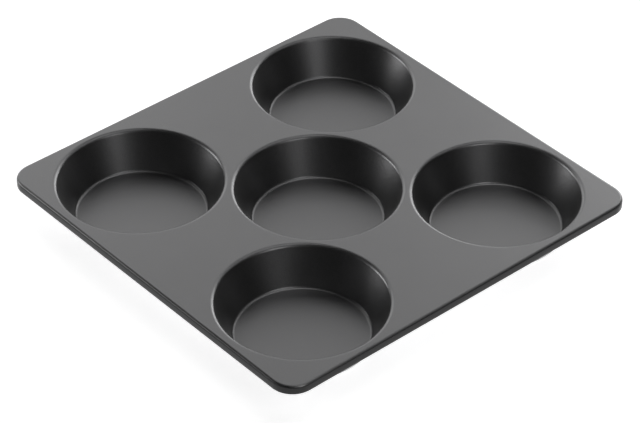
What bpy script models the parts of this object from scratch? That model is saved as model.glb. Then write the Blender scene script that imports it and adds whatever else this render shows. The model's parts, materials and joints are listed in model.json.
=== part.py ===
"""Five-well frying and baking tray.

One sheet of aluminium is pressed into a flat deck with five round wells and a turned-down edge. A non-stick
coating covers the cooking side and runs down the outside of the edge. The underside is bare metal.

Metres, +Z up. The origin is the middle of the plane that the undersides of the wells stand on. X runs along
the tray's longer side and Y along its shorter one.
"""

import math

import bmesh
import bpy
from mathutils import Vector

MM = 0.001

# Plan of the bare pressing
TRAY_LENGTH = 332 * MM
TRAY_WIDTH = 325 * MM
CORNER_RADIUS = 18 * MM

# The wells are as wide as these three flats leave room for
END_FLAT = 5.8 * MM  # from the tray's end to a corner well's opening, along X
SIDE_FLAT = 4.6 * MM  # from the tray's side to a corner well's opening, along Y
WEB_FLAT = 1.6 * MM  # between the openings of the middle well and a corner well

# Section of a well, on the cooking side of the bare pressing
WELL_DEPTH = 30 * MM
WALL_DRAFT = math.radians(24)  # the wall's lean from upright
LIP_RADIUS = 3.5 * MM  # the deck rolls over into the wall
BASE_RADIUS = 3 * MM  # the wall runs out into the floor

# Section of the turned-down edge, on the cooking side of the bare pressing
EDGE_HEIGHT = 6.5 * MM
EDGE_BEND_RADIUS = 2 * MM

# Thicknesses
SHEET_THICKNESS = 1.5 * MM
COATING_THICKNESS = 0.1 * MM
COATING_CLEARANCE = 0.05 * MM  # keeps the coating's mesh off the metal's

# Facets
WELL_SEGMENTS = 40
CORNER_SEGMENTS = 6
BEND_SEGMENTS = 3

DECK_HEIGHT = WELL_DEPTH + SHEET_THICKNESS  # of the pressing's cooking side, over the origin
WELD_DISTANCE = 0.001 * MM


def opening_radius():
    """Radius of the ring where the deck starts to roll down into a well.

    A corner well is tangent to its end flat and side flat, and two radii and a web flat away from the
    middle well. Together these give a quadratic in the radius.
    """
    reach_x = TRAY_LENGTH / 2 - END_FLAT
    reach_y = TRAY_WIDTH / 2 - SIDE_FLAT
    linear = (reach_x + reach_y) / 2 + WEB_FLAT
    constant = (reach_x**2 + reach_y**2 - WEB_FLAT**2) / 2
    return math.sqrt(linear**2 + constant) - linear


def well_centres():
    """Centres of the wells: one in the middle of the tray and one in each corner."""
    x = TRAY_LENGTH / 2 - END_FLAT - opening_radius()
    y = TRAY_WIDTH / 2 - SIDE_FLAT - opening_radius()
    return [Vector((0, 0, 0))] + [Vector((side * x, end * y, 0)) for side in (-1, 1) for end in (-1, 1)]


def steps(start, end, count):
    """Evenly spaced values from start to end, both included."""
    return [start + (end - start) * i / count for i in range(count + 1)]


def well_section(rise):
    """Points of a well's section from its opening to its floor, as radius and height.

    rise lifts the surface off the bare metal, square to it.
    """
    turn = math.pi / 2 - WALL_DRAFT
    bends = LIP_RADIUS + BASE_RADIUS
    lip_centre = Vector((opening_radius(), DECK_HEIGHT - LIP_RADIUS))
    wall_drop = WELL_DEPTH - bends * (1 - math.cos(turn))
    base_centre = Vector((
        lip_centre.x - bends * math.sin(turn) - wall_drop / math.tan(turn),
        DECK_HEIGHT - WELL_DEPTH + BASE_RADIUS,
    ))
    lip = LIP_RADIUS + rise
    base = BASE_RADIUS - rise
    over = [lip_centre + lip * Vector((-math.sin(a), math.cos(a))) for a in steps(0, turn, BEND_SEGMENTS)]
    out = [base_centre + base * Vector((math.sin(a), -math.cos(a))) for a in steps(turn, 0, BEND_SEGMENTS)]
    return over + out


def edge_section(rise):
    """Points of the turned-down edge's section, as outset from the bare pressing's side and height."""
    bend = EDGE_BEND_RADIUS + rise
    centre = Vector((-EDGE_BEND_RADIUS, DECK_HEIGHT - EDGE_BEND_RADIUS))
    turned = [centre + bend * Vector((math.sin(a), math.cos(a))) for a in steps(0, math.pi / 2, BEND_SEGMENTS)]
    return turned + [Vector((rise, DECK_HEIGHT - EDGE_HEIGHT))]


def outline(outset, height):
    """Points of the tray's rounded outline, moved outwards by outset."""
    points = []
    for quarter, (side, end) in enumerate([(1, 1), (-1, 1), (-1, -1), (1, -1)]):
        centre = Vector((side * (TRAY_LENGTH / 2 - CORNER_RADIUS), end * (TRAY_WIDTH / 2 - CORNER_RADIUS), height))
        for a in steps(quarter * math.pi / 2, (quarter + 1) * math.pi / 2, CORNER_SEGMENTS):
            points.append(centre + (CORNER_RADIUS + outset) * Vector((math.cos(a), math.sin(a), 0)))
    return points


def add_loop(bm, points):
    """Adds a closed loop of edges."""
    verts = [bm.verts.new(p) for p in points]
    return [bm.edges.new(pair) for pair in zip(verts, verts[1:] + verts[:1])]


def add_edge(bm, rise):
    """Turns the edge down, ring by ring, and returns the loop where it leaves the deck."""
    rings = [add_loop(bm, outline(p.x, p.y)) for p in edge_section(rise)]
    for upper, lower in zip(rings, rings[1:]):
        bmesh.ops.bridge_loops(bm, edges=upper + lower)
    return rings[0]


def add_well(bm, centre, rise):
    """Spins a well's section, closes its floor, and returns the loop round its opening."""
    section = [bm.verts.new(centre + Vector((p.x, 0, p.y))) for p in well_section(rise)]
    opening, floor = section[0].co.z, section[-1].co.z
    edges = [bm.edges.new(pair) for pair in zip(section, section[1:])]
    before = set(bm.verts) - set(section)
    bmesh.ops.spin(
        bm, geom=section + edges, cent=centre, axis=(0, 0, 1), angle=math.tau, steps=WELL_SEGMENTS, use_merge=True
    )
    ends = [e for e in bm.edges if e.is_boundary and not before & set(e.verts)]
    bmesh.ops.contextual_create(bm, geom=[e for e in ends if e.verts[0].co.z < (opening + floor) / 2])
    return [e for e in ends if e.verts[0].co.z > (opening + floor) / 2]


def add_surface(name, rise):
    """One open surface over the whole cooking side, lifted off the bare metal by rise."""
    bm = bmesh.new()
    loops = add_edge(bm, rise)
    for centre in well_centres():
        loops += add_well(bm, centre, rise)
    bmesh.ops.triangle_fill(bm, use_beauty=True, edges=loops)
    bmesh.ops.remove_doubles(bm, verts=bm.verts, dist=WELD_DISTANCE)
    bmesh.ops.recalc_face_normals(bm, faces=bm.faces)
    deck = max(bm.faces, key=lambda face: face.calc_center_median().z)
    if deck.normal.z < 0:
        bmesh.ops.reverse_faces(bm, faces=bm.faces)
    mesh = bpy.data.meshes.new(name)
    bm.to_mesh(mesh)
    bm.free()
    mesh.shade_smooth()
    mesh.set_sharp_from_angle(angle=math.radians(40))
    return bpy.data.objects.new(name, mesh)


def add_wall(part, thickness, side):
    """Gives an open surface its thickness, upwards for side 1 and downwards for side -1."""
    wall = part.modifiers.new("Wall", "SOLIDIFY")
    wall.thickness = thickness
    wall.offset = side
    wall.use_even_offset = True
    wall.use_quality_normals = True


def set_finish(part, colour, metallic, roughness):
    """Gives a part its own Principled material."""
    material = bpy.data.materials.new(part.name)
    material.use_nodes = True
    shader = material.node_tree.nodes["Principled BSDF"]
    shader.inputs["Base Color"].default_value = (*colour, 1)
    shader.inputs["Metallic"].default_value = metallic
    shader.inputs["Roughness"].default_value = roughness
    part.data.materials.append(material)


def make_pressing():
    """The aluminium sheet with its deck, wells and turned-down edge."""
    pressing = add_surface("tray_pressing", 0)
    add_wall(pressing, SHEET_THICKNESS, -1)
    set_finish(pressing, (0.62, 0.62, 0.63), 1.0, 0.42)
    return pressing


def make_coating():
    """The dark non-stick coating on the cooking side."""
    coating = add_surface("nonstick_coating", COATING_CLEARANCE)
    add_wall(coating, COATING_THICKNESS, 1)
    set_finish(coating, (0.035, 0.035, 0.036), 0.0, 0.38)
    return coating


def main():
    for old in list(bpy.data.objects):
        bpy.data.objects.remove(old)
    tray = bpy.data.collections.new("five_well_tray")
    bpy.context.scene.collection.children.link(tray)
    for part in (make_pressing(), make_coating()):
        tray.objects.link(part)


main()
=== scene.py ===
"""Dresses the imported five-well tray: its coating, its bare aluminium sheet and the studio."""

import json
import math

import bmesh
import bpy
from mathutils import Matrix, Vector


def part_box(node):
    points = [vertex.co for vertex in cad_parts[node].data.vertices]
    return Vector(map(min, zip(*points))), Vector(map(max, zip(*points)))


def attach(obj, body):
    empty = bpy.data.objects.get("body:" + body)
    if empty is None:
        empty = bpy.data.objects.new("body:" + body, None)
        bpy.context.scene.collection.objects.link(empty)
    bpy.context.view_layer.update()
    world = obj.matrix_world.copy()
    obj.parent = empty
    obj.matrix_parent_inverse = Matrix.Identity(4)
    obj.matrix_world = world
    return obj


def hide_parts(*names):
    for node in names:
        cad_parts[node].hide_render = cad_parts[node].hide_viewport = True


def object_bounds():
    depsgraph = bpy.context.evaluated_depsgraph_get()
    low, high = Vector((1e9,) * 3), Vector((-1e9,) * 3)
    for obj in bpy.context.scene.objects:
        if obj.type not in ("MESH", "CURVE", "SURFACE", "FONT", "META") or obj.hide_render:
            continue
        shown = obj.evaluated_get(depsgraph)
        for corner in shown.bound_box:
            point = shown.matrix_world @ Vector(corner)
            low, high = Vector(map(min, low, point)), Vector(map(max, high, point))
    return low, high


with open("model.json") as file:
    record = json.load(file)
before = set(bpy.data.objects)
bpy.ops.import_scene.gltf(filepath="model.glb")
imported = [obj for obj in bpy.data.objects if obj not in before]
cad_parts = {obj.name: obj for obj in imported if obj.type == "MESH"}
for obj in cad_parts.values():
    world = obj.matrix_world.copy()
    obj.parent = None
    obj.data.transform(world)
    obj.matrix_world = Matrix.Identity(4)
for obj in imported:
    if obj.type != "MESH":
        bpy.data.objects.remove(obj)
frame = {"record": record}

bl_info = {
    "name": "Five-well tray",
    "version": (1, 0, 0),
    "blender": (4, 5, 0),
    "location": "3D View > Sidebar > Tray",
    "description": "Makes the dressed surfaces and the studio of a pressed five-well baking tray",
    "category": "Object",
}

MM = 0.001

# What the frame says
CAD_LOW, CAD_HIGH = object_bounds()
SHEET_LOW, SHEET_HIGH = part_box("tray_pressing")
COAT_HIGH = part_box("nonstick_coating")[1]
MOUNTS = {mount["name"]: Vector(mount["pos_m"]) for mount in frame["record"]["mounts"]}
PITCH = MOUNTS["back_well_floor"].xy  # from the middle well to a corner well
COATING_TOP = COAT_HIGH.z - SHEET_HIGH.z  # of the coating's face over the metal's

# Facets of the dressed surfaces
AROUND_A_WELL = 144
IN_A_BEND = 12
IN_A_CORNER = 16
IN_A_BEVEL = 2
BEVEL_ANGLE = math.radians(60)  # bends sharper than this are bevelled
SHARP_ANGLE = math.radians(50)  # bends sharper than this are shaded sharp
WELD = 0.002 * MM

# Noises, as scale and detail. Most scales are per metre
COATING_MOTTLE = (28, 3)
COATING_SPECKS = (1800, 1)
COATING_WAVES = (520, 2)
SHEET_MOTTLE = (22, 3)
SHEET_GRAIN = (1, 3)  # on a place that GRAIN_STRETCH scales
GRAIN_STRETCH = (14, 900, 400)
DRAW_MARKS = (45, 4)  # on a circle of radius 1 round a well

# What the noises do to a finish: where it starts and what each noise adds at its highest
COATING_TONE = {"start": 0.88, "mottle": 0.1, "specks": 0.15}
COATING_ROUGHNESS = {"start": -0.06, "mottle": 0.06, "specks": 0.08}  # added to the look's own
SHEET_TONE = {"start": 0.62, "mottle": 0.24, "marks": 0.12}
SHEET_ROUGHNESS = {"start": -0.1, "mottle": 0.08, "marks": 0.12}  # added to the look's own

SPECK_ENDS = (0.4, 0.62)  # of the noise that the specks are made from
EDGE_SHADE_ENDS = (-0.6 * MM, -0.1 * MM)  # past the outline, where painted shade darkens the coating down the edge

# The outside of a well's wall in plan, where the draw marks are
WALL_INSET = 16 * MM  # of the wall's foot from the opening
FOOT_FADE = 3 * MM
LIP_FADE = 4 * MM

IN_PLAN = (1, 1, 0)  # a place multiplied by this loses its height
PHOTO_WIDTH = 640  # in pixels


class Wire:
    """A socket's value. Python's signs on it add Math nodes to its tree."""

    def __init__(self, net, socket):
        self.net = net
        self.socket = socket

    def math(self, operation, *others):
        """Maths on this wire and others, in that order."""
        inlets = dict(enumerate((self, *others)))
        return self.net.node("ShaderNodeMath", {"operation": operation}, inlets)

    def __add__(self, other):
        return self.math("ADD", other)

    def __sub__(self, other):
        return self.math("SUBTRACT", other)

    def __rsub__(self, other):
        return self.net.node("ShaderNodeMath", {"operation": "SUBTRACT"}, {0: other, 1: self})

    def __mul__(self, other):
        return self.math("MULTIPLY", other)

    def __neg__(self):
        return self * -1

    __radd__ = __add__
    __rmul__ = __mul__

    def vector(self, operation, *others):
        """Vector maths on this wire and others, in that order."""
        inlets = dict(enumerate((self, *others)))
        outlet = "Value" if operation == "LENGTH" else "Vector"
        return self.net.node("ShaderNodeVectorMath", {"operation": operation}, inlets, outlet)

    def from_to(self, low, high):
        """Ramps smoothly from 0 at low to 1 at high, either way round."""
        if low > high:
            return 1 - self.from_to(high, low)
        ends = {"Value": self, "From Min": low, "From Max": high}
        return self.net.node("ShaderNodeMapRange", {"interpolation_type": "SMOOTHSTEP"}, ends)

    def noise(self, scale, detail):
        """Noise at the place that this wire holds."""
        inlets = {"Vector": self, "Scale": scale, "Detail": detail}
        return self.net.node("ShaderNodeTexNoise", None, inlets)


class Net:
    """A node tree that is written as one call for each node."""

    def __init__(self, tree):
        self.tree = tree

    def feed(self, node, inlets):
        """Feeds sockets by name or number with a value, a wire or a list of wires."""
        for name, value in inlets.items():
            for part in value if isinstance(value, list) else [value]:
                if isinstance(part, Wire):
                    self.tree.links.new(part.socket, node.inputs[name])
                else:
                    node.inputs[name].default_value = part

    def node(self, kind, settings=None, inlets=None, outlet=0):
        """Adds a node, sets it up, feeds it and returns one of its outputs, where it has any."""
        node = self.tree.nodes.new(kind)
        for name, value in (settings or {}).items():
            setattr(node, name, value)
        self.feed(node, inlets or {})
        return Wire(self, node.outputs[outlet]) if node.outputs else None


# The pressed surface, which the coating and the sheet share

SURFACE_SIZES = (
    "Deck height", "Deck length", "Deck width", "Deck corner",
    "Pitch X", "Pitch Y",
    "Opening radius", "Lip tangent", "Lip radius",
    "Wall drop", "Wall lean", "Base radius",
    "Edge reach", "Edge bend", "Edge drop",
)
SURFACE_INPUTS = {**dict.fromkeys(SURFACE_SIZES, "Float"), "Finish": "Material"}


def rounded_section(net, points, radii):
    """A section of four points, as outset and drop, with its inner corners rounded to radii."""
    corners = {}
    for number, (outset, drop) in enumerate(points, start=1):
        corner = {"X": outset, "Y": drop}
        corners[f"Point {number}"] = net.node("ShaderNodeCombineXYZ", None, corner)
    line = net.node("GeometryNodeCurvePrimitiveQuadrilateral", {"mode": "POINTS"}, corners)
    line = net.node("GeometryNodeSetSplineCyclic", None, {"Geometry": line, "Cyclic": False})
    index = net.node("GeometryNodeInputIndex")
    radius = radii[0] + (index - 1) * (radii[1] - radii[0])
    bend = {"Curve": line, "Count": IN_A_BEND, "Radius": radius}
    return net.node("GeometryNodeFilletCurve", {"mode": "POLY"}, bend)


def pressed_tree():
    """Geometry nodes for the surface: wells swept round circles, the edge and the deck."""
    tree = bpy.data.node_groups.new("Pressed tray", "GeometryNodeTree")
    net = Net(tree)
    for name, kind in SURFACE_INPUTS.items():
        tree.interface.new_socket(name, in_out="INPUT", socket_type=f"NodeSocket{kind}")
    tree.interface.new_socket("Geometry", in_out="OUTPUT", socket_type="NodeSocketGeometry")
    size = {name: net.node("NodeGroupInput", outlet=name) for name in SURFACE_INPUTS}

    # A well, as distances in from its opening and down: the lip, the wall and the floor
    opening, drop, lip_in = size["Opening radius"], size["Wall drop"], size["Lip tangent"]
    wall_in = drop * size["Wall lean"]
    well_points = [(0, 0), (-lip_in, 0), (-(lip_in + wall_in), drop), (-opening, drop)]
    section = rounded_section(net, well_points, (size["Lip radius"], size["Base radius"]))
    circle = {"Resolution": AROUND_A_WELL, "Radius": opening}
    ring = net.node("GeometryNodeCurvePrimitiveCircle", {"mode": "RADIUS"}, circle)
    well = {"Curve": ring, "Profile Curve": section}
    well = net.node("GeometryNodeCurveToMesh", None, well)

    # The edge: the deck's outline, with a section that goes out and then down. Its third point
    # only halves the straight band below the bend
    plan = {"Width": size["Deck length"], "Height": size["Deck width"]}
    outline = net.node("GeometryNodeCurvePrimitiveQuadrilateral", {"mode": "RECTANGLE"}, plan)
    corner = {"Curve": outline, "Count": IN_A_CORNER, "Radius": size["Deck corner"]}
    outline = net.node("GeometryNodeFilletCurve", {"mode": "POLY"}, corner)
    reach, bend, edge_drop = size["Edge reach"], size["Edge bend"], size["Edge drop"]
    halfway = edge_drop * 0.5 + bend * 0.5
    edge_points = [(0, 0), (reach, 0), (reach, halfway), (reach, edge_drop)]
    edge = {"Curve": outline, "Profile Curve": rounded_section(net, edge_points, (bend, 0))}
    edge = net.node("GeometryNodeCurveToMesh", None, edge)

    # Five places, one in the middle and one in each corner, and the deck round their openings
    grid = {"Size X": size["Pitch X"], "Size Y": size["Pitch Y"], "Vertices X": 2, "Vertices Y": 2}
    corners = net.node("GeometryNodeMeshGrid", None, grid)
    middle = net.node("GeometryNodePoints", None, {"Count": 1})
    places = net.node("GeometryNodeJoinGeometry", None, {0: [corners, middle]})
    holes = net.node("GeometryNodeInstanceOnPoints", None, {"Points": places, "Instance": ring})
    holes = net.node("GeometryNodeRealizeInstances", None, {0: holes})
    wells = net.node("GeometryNodeInstanceOnPoints", None, {"Points": places, "Instance": well})
    bounds = net.node("GeometryNodeJoinGeometry", None, {0: [outline, holes]})
    deck = net.node("GeometryNodeFillCurve", {"mode": "TRIANGLES"}, {"Curve": bounds})

    whole = net.node("GeometryNodeJoinGeometry", None, {0: [deck, edge, wells]})
    lift = net.node("ShaderNodeCombineXYZ", None, {"Z": size["Deck height"]})
    whole = net.node("GeometryNodeTransform", None, {"Geometry": whole, "Translation": lift})
    whole = net.node("GeometryNodeRealizeInstances", None, {0: whole})
    whole = net.node("GeometryNodeMergeByDistance", None, {"Geometry": whole, "Distance": WELD})
    whole = net.node("GeometryNodeSetShadeSmooth", None, {"Geometry": whole})
    finished = {"Geometry": whole, "Material": size["Finish"]}
    whole = net.node("GeometryNodeSetMaterial", None, finished)
    net.node("NodeGroupOutput", None, {0: whole})
    return tree


def surface_sizes(sizes, rise):
    """The tree's sizes for a surface that lies rise above the bare metal, square to it."""
    tangent = math.tan((math.pi / 2 - sizes.wall_draft) / 2)  # of the lip's bend, per radius
    flat = sizes.flat_strip
    outset = sizes.edge_bend + flat
    return {
        "Deck height": SHEET_HIGH.z + rise,
        "Deck length": SHEET_HIGH.x - SHEET_LOW.x - 2 * outset,
        "Deck width": SHEET_HIGH.y - SHEET_LOW.y - 2 * outset,
        "Deck corner": sizes.corner_radius - outset,
        "Pitch X": 2 * PITCH.x,
        "Pitch Y": 2 * PITCH.y,
        "Opening radius": sizes.opening_radius + flat,
        "Lip tangent": flat + (sizes.lip_radius + rise) * tangent,
        "Lip radius": sizes.lip_radius + rise,
        "Wall drop": SHEET_HIGH.z - sizes.sheet_thickness,
        "Wall lean": math.tan(sizes.wall_draft),
        "Base radius": sizes.base_radius - rise,
        "Edge reach": outset + rise,
        "Edge bend": sizes.edge_bend + rise,
        "Edge drop": sizes.edge_height + rise,
    }


def applied(piece):
    """A piece's mesh with its modifiers applied."""
    evaluated = piece.evaluated_get(bpy.context.evaluated_depsgraph_get())
    return bpy.data.meshes.new_from_object(evaluated)


def add_surface(name, sizes, rise, finish):
    """Runs the tree for one surface and returns it as a plain mesh that faces up and out."""
    tree = pressed_tree()
    holder = bpy.data.objects.new(name, bpy.data.meshes.new(name))
    bpy.context.scene.collection.objects.link(holder)
    nodes = holder.modifiers.new("Pressed tray", "NODES")
    nodes.node_group = tree
    values = {**surface_sizes(sizes, rise), "Finish": finish}
    for item in tree.interface.items_tree:
        if item.in_out == "INPUT":
            nodes[item.identifier] = values[item.name]
    made = applied(holder)
    holder.modifiers.remove(nodes)
    holder.data = made
    bm = bmesh.new()
    bm.from_mesh(made)
    bmesh.ops.recalc_face_normals(bm, faces=bm.faces)
    if max(bm.faces, key=lambda face: face.calc_center_median().z).normal.z < 0:
        bmesh.ops.reverse_faces(bm, faces=bm.faces)
    bm.to_mesh(made)
    bm.free()
    return holder


def give_thickness(piece, thickness, bevel):
    """Thickens an open surface inwards, bevels its cut edge, applies both and shades it."""
    wall = piece.modifiers.new("Wall", "SOLIDIFY")
    wall.thickness = thickness
    wall.offset = -1
    wall.use_even_offset = True
    wall.use_quality_normals = True
    broken = piece.modifiers.new("Broken corners", "BEVEL")
    broken.width = bevel
    broken.segments = IN_A_BEVEL
    broken.limit_method = "ANGLE"
    broken.angle_limit = BEVEL_ANGLE
    made = applied(piece)
    piece.modifiers.clear()
    piece.data = made
    made.shade_smooth()
    made.set_sharp_from_angle(angle=SHARP_ANGLE)


# Finishes


def new_material(name):
    """A new material, its net and its Principled shader."""
    material = bpy.data.materials.new(name)
    material.use_nodes = True
    return material, Net(material.node_tree), material.node_tree.nodes["Principled BSDF"]


def mixed(net, kind, factor, first, second, blend="MIX"):
    """Mixes two vectors or colours. The Mix node's sockets share names, so they go by number."""
    one, other, outlet = {"VECTOR": (4, 5, 1), "RGBA": (6, 7, 2)}[kind]
    inlets = {0: factor, one: first, other: second}
    return net.node("ShaderNodeMix", {"data_type": kind, "blend_type": blend}, inlets, outlet)


def grey(net, level):
    """A grey of a level that may vary."""
    return net.node("ShaderNodeCombineColor", None, {0: level, 1: level, 2: level})


def tinted(net, colour, tone):
    """A colour made darker or lighter by a tone."""
    return mixed(net, "RGBA", 1, (*colour, 1), grey(net, tone), "MULTIPLY")


def varied(amounts, **noises):
    """What the noises make of a value: its start, and each noise by its amount."""
    value = amounts["start"]
    for name, noise in noises.items():
        value = value + amounts[name] * noise
    return value


def past_outline(place, corner):
    """How far a place lies past the coating's rounded outline in plan. True near the outline."""
    reach = Vector((COAT_HIGH.x - corner, COAT_HIGH.y - corner, 0))
    over = place.vector("ABSOLUTE").vector("SUBTRACT", reach).vector("MAXIMUM", (0, 0, 0))
    return over.vector("MULTIPLY", IN_PLAN).vector("LENGTH") - corner


def coating_material(sizes, look):
    """Baked non-stick coating: a dark metallic gloss, darkened down the edge by painted shade.

    It has fine waves, fine specks and a soft mottle.
    """
    material, net, shader = new_material("Non-stick coating")
    place = net.node("ShaderNodeTexCoord", outlet="Object")
    mottle = place.noise(*COATING_MOTTLE)
    specks = place.noise(*COATING_SPECKS).from_to(*SPECK_ENDS)
    waves = place.noise(*COATING_WAVES)
    # Painted shade: the coating's colour is darkened down the turned-down edge, standing in for
    # the shade there
    edge_shade_mask = past_outline(place, sizes.corner_radius + COATING_TOP).from_to(*EDGE_SHADE_ENDS)
    tone = varied(COATING_TONE, mottle=mottle, specks=specks)
    tone = tone * (1 - look.edge_painted_shade * edge_shade_mask)
    rough = look.coating_roughness + varied(COATING_ROUGHNESS, mottle=mottle, specks=specks)
    peel = {"Strength": 1, "Distance": look.orange_peel, "Height": waves}
    net.feed(shader, {
        "Base Color": tinted(net, look.coating_colour, tone),
        "Metallic": look.coating_metallic,
        "Roughness": rough,
        "Normal": net.node("ShaderNodeBump", None, peel),
    })
    return material


def from_nearest_well(net, place):
    """A place in plan from the middle of the nearest well, folded into a quarter of the tray."""
    folded = place.vector("ABSOLUTE").vector("MULTIPLY", IN_PLAN)
    from_corner = folded.vector("SUBTRACT", (*PITCH, 0))
    in_corner = from_corner.vector("LENGTH").math("LESS_THAN", folded.vector("LENGTH"))
    return mixed(net, "VECTOR", in_corner, folded, from_corner)


def sheet_material(sizes, look):
    """Bare rolled aluminium: its grain, and draw marks down the outside of each well."""
    material, net, shader = new_material("Rolled aluminium")
    place = net.node("ShaderNodeTexCoord", outlet="Object")
    along = net.node("ShaderNodeMapping", None, {"Vector": place, "Scale": GRAIN_STRETCH})
    grain = along.noise(*SHEET_GRAIN)
    mottle = place.noise(*SHEET_MOTTLE)
    offset = from_nearest_well(net, place)
    drawn = offset.vector("NORMALIZE").noise(*DRAW_MARKS)
    radius = offset.vector("LENGTH")
    opening = sizes.opening_radius
    foot = opening - WALL_INSET
    wall = radius.from_to(foot, foot + FOOT_FADE) * radius.from_to(opening, opening - LIP_FADE)
    marks = grain + wall * (drawn - grain)
    rough = look.sheet_roughness + varied(SHEET_ROUGHNESS, marks=marks, mottle=mottle)
    relief = {"Strength": 1, "Distance": look.grain, "Height": marks}
    tone = varied(SHEET_TONE, mottle=mottle, marks=marks)
    net.feed(shader, {
        "Base Color": tinted(net, look.sheet_colour, tone),
        "Metallic": 1,
        "Roughness": rough,
        "Normal": net.node("ShaderNodeBump", None, relief),
    })
    return material


def floor_material(look):
    """Pale floor that the camera and the gloss see as white, with the tray's shadow on it.

    Near the tray the lift leaves room for the lamps' light. Further off, where that light
    fades, it grows to 1.
    """
    material, net, shader = new_material("Pale floor")
    camera, gloss, through = (
        net.node("ShaderNodeLightPath", outlet=ray)
        for ray in ("Is Camera Ray", "Is Glossy Ray", "Is Transmission Ray")
    )
    away = net.node("ShaderNodeTexCoord", outlet="Object").vector("LENGTH")
    faded = away.from_to(look.floor_lit, look.floor_unlit)
    lift = (camera + gloss + through) * (look.floor_lift + (1 - look.floor_lift) * faded)
    net.feed(shader, {
        "Base Color": (*look.floor_colour, 1),
        "Roughness": 0.9,
        "Specular IOR Level": 0.1,
        "Emission Color": grey(net, lift),
        "Emission Strength": 1,
    })
    return material


# What a user would change


class TraySizes(bpy.types.PropertyGroup):
    opening_radius: bpy.props.FloatProperty(
        name="Opening radius", description="Where the deck starts to roll into a well",
        default=65.415 * MM, unit="LENGTH",
    )
    wall_draft: bpy.props.FloatProperty(
        name="Wall draft", description="Lean of a well's wall from upright",
        default=math.radians(24), subtype="ANGLE",
    )
    lip_radius: bpy.props.FloatProperty(
        name="Lip radius", description="Roll of the deck into a well, on the metal",
        default=3.5 * MM, unit="LENGTH",
    )
    base_radius: bpy.props.FloatProperty(
        name="Base radius", description="Run of a well's wall into its floor, on the metal",
        default=3 * MM, unit="LENGTH",
    )
    corner_radius: bpy.props.FloatProperty(
        name="Corner radius", description="Corner of the tray in plan",
        default=18 * MM, unit="LENGTH",
    )
    edge_height: bpy.props.FloatProperty(
        name="Edge height", description="Height of the turned-down edge",
        default=6.5 * MM, unit="LENGTH",
    )
    edge_bend: bpy.props.FloatProperty(
        name="Edge bend", description="Outer radius of the turned-down edge",
        default=2 * MM, unit="LENGTH",
    )
    sheet_thickness: bpy.props.FloatProperty(
        name="Sheet thickness", description="Thickness of the aluminium",
        default=1.5 * MM, unit="LENGTH",
    )
    coating_thickness: bpy.props.FloatProperty(
        name="Coating thickness", description="Thickness of the non-stick coating",
        default=0.1 * MM, unit="LENGTH",
    )
    flat_strip: bpy.props.FloatProperty(
        name="Flat strip",
        description="Level strip beside each bend, which keeps the deck's shading flat",
        default=0.3 * MM, unit="LENGTH",
    )
    sheet_bevel: bpy.props.FloatProperty(
        name="Sheet bevel", description="Bevel on the sheet's cut edge",
        default=0.2 * MM, unit="LENGTH",
    )
    coating_bevel: bpy.props.FloatProperty(
        name="Coating bevel", description="Bevel on the coating's cut edge",
        default=0.025 * MM, unit="LENGTH",
    )


class TrayFinish(bpy.types.PropertyGroup):
    coating_colour: bpy.props.FloatVectorProperty(
        name="Coating colour", description="Colour of the coating's gloss",
        default=(0.17, 0.17, 0.172), subtype="COLOR",
    )
    coating_metallic: bpy.props.FloatProperty(
        name="Coating metallic", description="Share of the coating that shines as metal",
        default=1, subtype="FACTOR",
    )
    coating_roughness: bpy.props.FloatProperty(
        name="Coating roughness", description="Roughness of the coating",
        default=0.36, subtype="FACTOR",
    )
    # Painted shade: how far the coating's colour is darkened down the edge, standing in for the
    # shade there
    edge_painted_shade: bpy.props.FloatProperty(
        name="Edge darkening", description="How much darker the coating is down the edge",
        default=0.78, subtype="FACTOR",
    )
    orange_peel: bpy.props.FloatProperty(
        name="Orange peel", description="Height of the coating's fine waves",
        default=0.015 * MM, unit="LENGTH",
    )
    sheet_colour: bpy.props.FloatVectorProperty(
        name="Sheet colour", description="Colour of the bare aluminium",
        default=(0.62, 0.62, 0.63), subtype="COLOR",
    )
    sheet_roughness: bpy.props.FloatProperty(
        name="Sheet roughness", description="Roughness of the bare aluminium",
        default=0.4, subtype="FACTOR",
    )
    grain: bpy.props.FloatProperty(
        name="Grain", description="Height of the rolled sheet's grain",
        default=0.01 * MM, unit="LENGTH",
    )


class TrayStudio(bpy.types.PropertyGroup):
    azimuth: bpy.props.FloatProperty(
        name="Azimuth", description="Camera's turn about the tray",
        default=math.radians(-40.86), subtype="ANGLE",
    )
    elevation: bpy.props.FloatProperty(
        name="Elevation", description="Camera's angle above the floor",
        default=math.radians(37.96), subtype="ANGLE",
    )
    distance: bpy.props.FloatProperty(
        name="Distance", description="Camera to its aim", default=2.064, unit="LENGTH",
    )
    aim: bpy.props.FloatVectorProperty(
        name="Aim", description="Point of the deck in the middle of the picture",
        default=(-19 * MM, -24 * MM), size=2, unit="LENGTH",
    )
    focal_pixels: bpy.props.FloatProperty(
        name="Focal length", description="Camera's focal length in pixels of the photograph",
        default=2817.7,
    )
    floor_colour: bpy.props.FloatVectorProperty(
        name="Floor colour", description="Colour of the floor",
        default=(0.85, 0.85, 0.85), subtype="COLOR",
    )
    floor_gap: bpy.props.FloatProperty(
        name="Floor gap", description="Keeps the floor's face off the undersides of the wells",
        default=0.05 * MM, unit="LENGTH",
    )
    floor_size: bpy.props.FloatProperty(
        name="Floor size", description="Side of the square floor", default=60, unit="LENGTH",
    )
    floor_lift: bpy.props.FloatProperty(
        name="Floor lift",
        description="What the floor adds near the tray to reach white for the camera",
        default=0.74,
    )
    floor_lit: bpy.props.FloatProperty(
        name="Floor lit", description="Distance from the tray at which the lamps' light fades",
        default=0.6, unit="LENGTH",
    )
    floor_unlit: bpy.props.FloatProperty(
        name="Floor unlit", description="Distance from the tray at which their light is gone",
        default=1.8, unit="LENGTH",
    )
    sky: bpy.props.FloatProperty(
        name="Sky", description="Strength of the white surroundings", default=0.03,
    )


# The pieces


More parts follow.
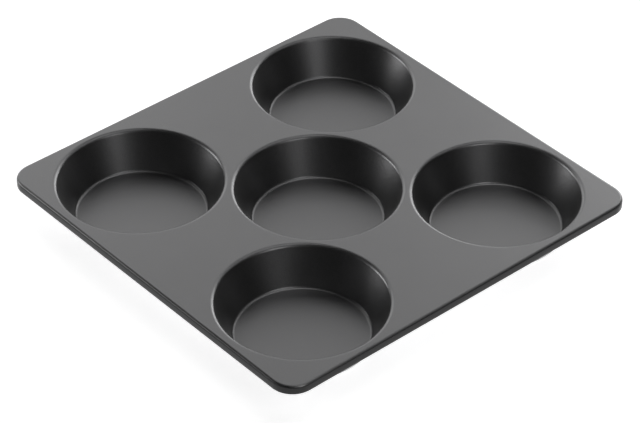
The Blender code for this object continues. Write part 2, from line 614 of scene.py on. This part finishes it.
class TRAY_OT_coating(bpy.types.Operator):
    """Makes the non-stick coating over the cooking side and down the outside of the edge"""

    bl_idname = "tray.coating"
    bl_label = "Non-stick coating"

    def execute(self, context):
        sizes, look = context.scene.tray_sizes, context.scene.tray_finish
        finish = coating_material(sizes, look)
        coating = add_surface("coating_skin", sizes, COATING_TOP, finish)
        give_thickness(coating, sizes.coating_thickness, sizes.coating_bevel)
        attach(coating, "root")
        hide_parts("nonstick_coating")
        return {"FINISHED"}


class TRAY_OT_sheet(bpy.types.Operator):
    """Makes the pressed aluminium sheet, whose underside stays bare"""

    bl_idname = "tray.sheet"
    bl_label = "Aluminium sheet"

    def execute(self, context):
        sizes, look = context.scene.tray_sizes, context.scene.tray_finish
        sheet = add_surface("pressed_sheet", sizes, 0, sheet_material(sizes, look))
        give_thickness(sheet, sizes.sheet_thickness, sizes.sheet_bevel)
        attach(sheet, "root")
        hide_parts("tray_pressing")
        return {"FINISHED"}


# The studio

# Softboxes by name: turn from the camera's side towards its right and tilt above the floor,
# both in degrees, then distance, width and height in metres, and radiance, where 1 is white
SOFTBOXES = {
    "backdrop": (180, 27, 1.5, 3.0, 1.7, 0.95),
    "behind_left": (205, 20, 1.5, 0.8, 0.8, 0.6),
    "behind_right": (150, 20, 1.5, 0.8, 0.8, 1.48),
    "low_behind_right": (150, 12, 1.4, 0.9, 0.35, 2.05),
    "left": (254, 13, 3.5, 1.4, 1.2, 4.8),
    "front_right": (30, 35, 1.0, 0.3, 0.4, 2.85),
    "overhead": (90, 80, 1.2, 0.6, 0.6, 1.4),
    "high_right": (95, 50, 1.4, 0.6, 0.4, 0.85),
}


def direction(azimuth, elevation):
    """Unit vector from the tray out to an azimuth and an angle above the floor."""
    level = math.cos(elevation)
    return Vector((math.sin(azimuth) * level, -math.cos(azimuth) * level, math.sin(elevation)))


def add_floor(context, look):
    """The floor, just under the undersides of the wells."""
    location = (0, 0, CAD_LOW.z - look.floor_gap)
    bpy.ops.mesh.primitive_plane_add(size=look.floor_size, location=location)
    floor = context.object
    floor.name = "studio_floor"
    floor.data.materials.append(floor_material(look))


def add_sky(context, look):
    """Faint white surroundings."""
    world = bpy.data.worlds.new("Studio")
    world.use_nodes = True
    background = world.node_tree.nodes["Background"].inputs
    background["Color"].default_value = (1, 1, 1, 1)
    background["Strength"].default_value = look.sky
    context.scene.world = world


def add_softbox(context, look, name, turn, tilt, distance, width, height, radiance):
    """A rectangular lamp that faces the tray and doesn't show in the picture."""
    back = direction(look.azimuth + math.radians(turn), math.radians(tilt))
    lamp = bpy.data.lights.new(name, "AREA")
    lamp.shape = "RECTANGLE"
    lamp.size = width
    lamp.size_y = height
    lamp.energy = radiance * math.pi * width * height
    holder = bpy.data.objects.new(name, lamp)
    holder.location = back * distance
    holder.rotation_mode = "QUATERNION"
    holder.rotation_quaternion = back.to_track_quat("Z", "Y")
    holder.visible_camera = False
    context.scene.collection.objects.link(holder)


def add_camera(context, look):
    """The camera at the photograph's angle."""
    camera = bpy.data.objects.new("photo_camera", bpy.data.cameras.new("photo_camera"))
    context.scene.collection.objects.link(camera)
    back = direction(look.azimuth, look.elevation)
    right = Vector((math.cos(look.azimuth), math.sin(look.azimuth), 0))
    turn = Matrix((right, back.cross(right), back)).transposed().to_4x4()
    aim = Vector((*look.aim, CAD_HIGH.z))
    camera.matrix_world = Matrix.Translation(aim + back * look.distance) @ turn
    camera.data.lens = look.focal_pixels / PHOTO_WIDTH * camera.data.sensor_width
    camera.data.clip_end = 100
    context.scene.camera = camera


class TRAY_OT_studio(bpy.types.Operator):
    """Makes the floor, the light and the camera"""

    bl_idname = "tray.studio"
    bl_label = "Studio"

    def execute(self, context):
        look = context.scene.tray_studio
        add_floor(context, look)
        add_sky(context, look)
        for name, softbox in SOFTBOXES.items():
            add_softbox(context, look, name, *softbox)
        add_camera(context, look)
        context.scene.view_settings.view_transform = "Standard"
        return {"FINISHED"}


class VIEW3D_PT_tray(bpy.types.Panel):
    """Sizes, finishes and studio of the tray, and what makes each piece"""

    bl_label = "Five-well tray"
    bl_space_type = "VIEW_3D"
    bl_region_type = "UI"
    bl_category = "Tray"

    def draw(self, context):
        for attribute, group in GROUPS.items():
            for name in group.__annotations__:
                self.layout.prop(getattr(context.scene, attribute), name)
        for operator in OPERATORS:
            self.layout.operator(operator.bl_idname)


OPERATORS = (TRAY_OT_sheet, TRAY_OT_coating, TRAY_OT_studio)
GROUPS = {"tray_sizes": TraySizes, "tray_finish": TrayFinish, "tray_studio": TrayStudio}
CLASSES = (*GROUPS.values(), *OPERATORS, VIEW3D_PT_tray)


def register():
    for cls in CLASSES:
        bpy.utils.register_class(cls)
    for name, group in GROUPS.items():
        setattr(bpy.types.Scene, name, bpy.props.PointerProperty(type=group))


def unregister():
    for name in GROUPS:
        delattr(bpy.types.Scene, name)
    for cls in reversed(CLASSES):
        bpy.utils.unregister_class(cls)


def main():
    register()
    bpy.ops.tray.sheet()
    bpy.ops.tray.coating()
    bpy.ops.tray.studio()


if __name__ == "__main__":
    main()
